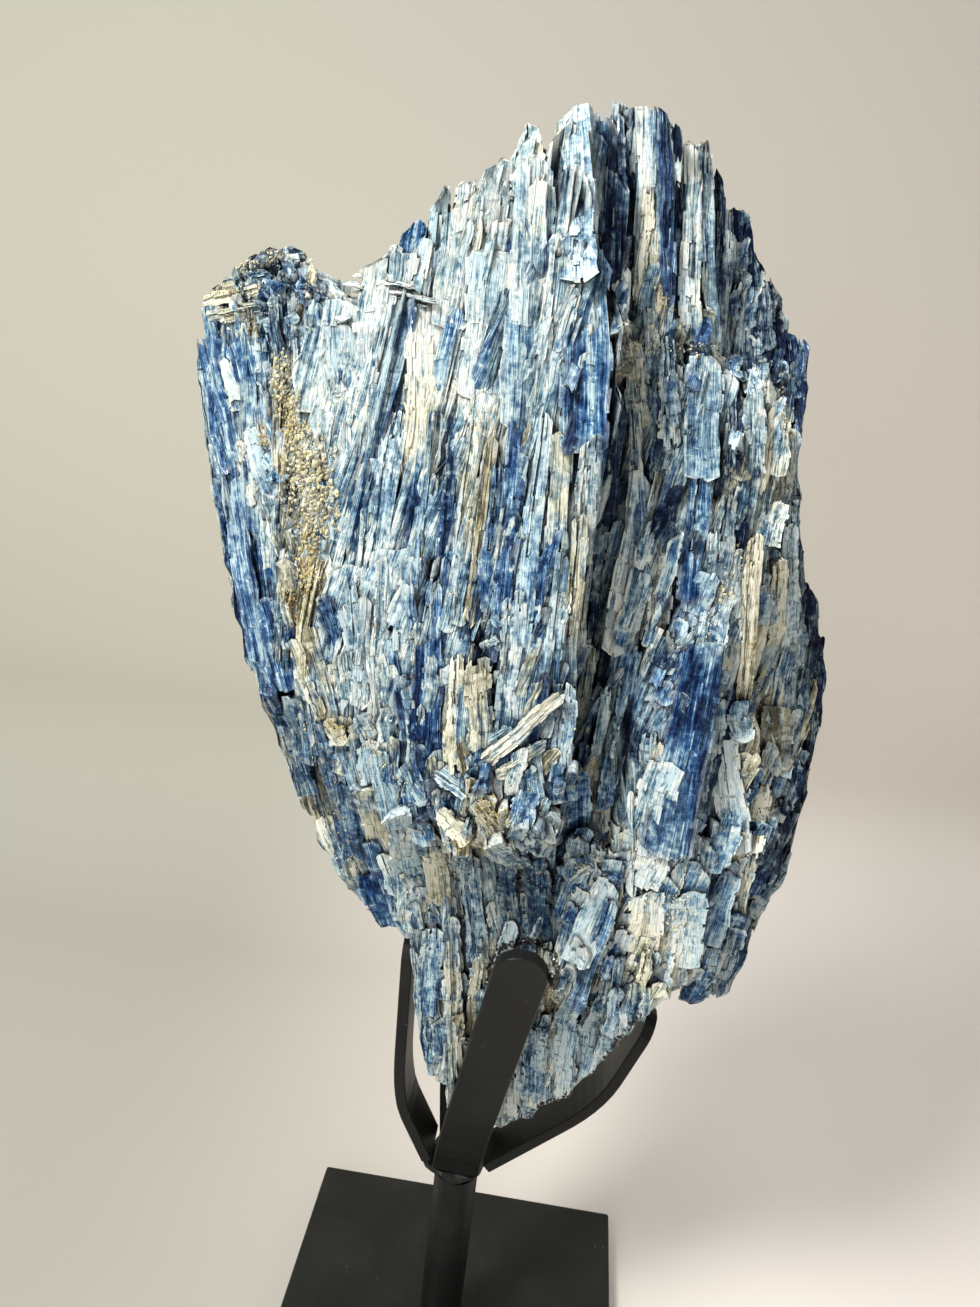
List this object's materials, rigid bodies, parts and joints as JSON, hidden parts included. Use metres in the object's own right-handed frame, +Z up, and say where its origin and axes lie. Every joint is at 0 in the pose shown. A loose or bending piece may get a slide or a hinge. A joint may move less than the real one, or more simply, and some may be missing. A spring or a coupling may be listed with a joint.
{
  "type": "kyanite mineral specimen on a stand",
  "caption": "Fan-shaped cluster of bladed blue kyanite crystals, held upright by bent flat prongs on a round post and a square base plate.",
  "frame": {"origin": "centre of the base plate's underside", "axes": "+Z up along the post, -Y towards the side that the specimen is shown from, +X to its right"},
  "size_m": [0.1554, 0.1, 0.3353],
  "materials": {
    "kyanite": "bladed blue-grey crystal with a pearly sheen",
    "steel": "satin black",
    "weld": "satin black over a lumpy weld"
  },
  "bodies": {
    "root": {"kyanite": "kyanite", "base_plate": "steel", "post": "steel", "front_prong": "steel", "left_prong": "steel", "right_prong": "steel", "back_prong": "steel", "weld": "weld"}
  },
  "joints": []
}
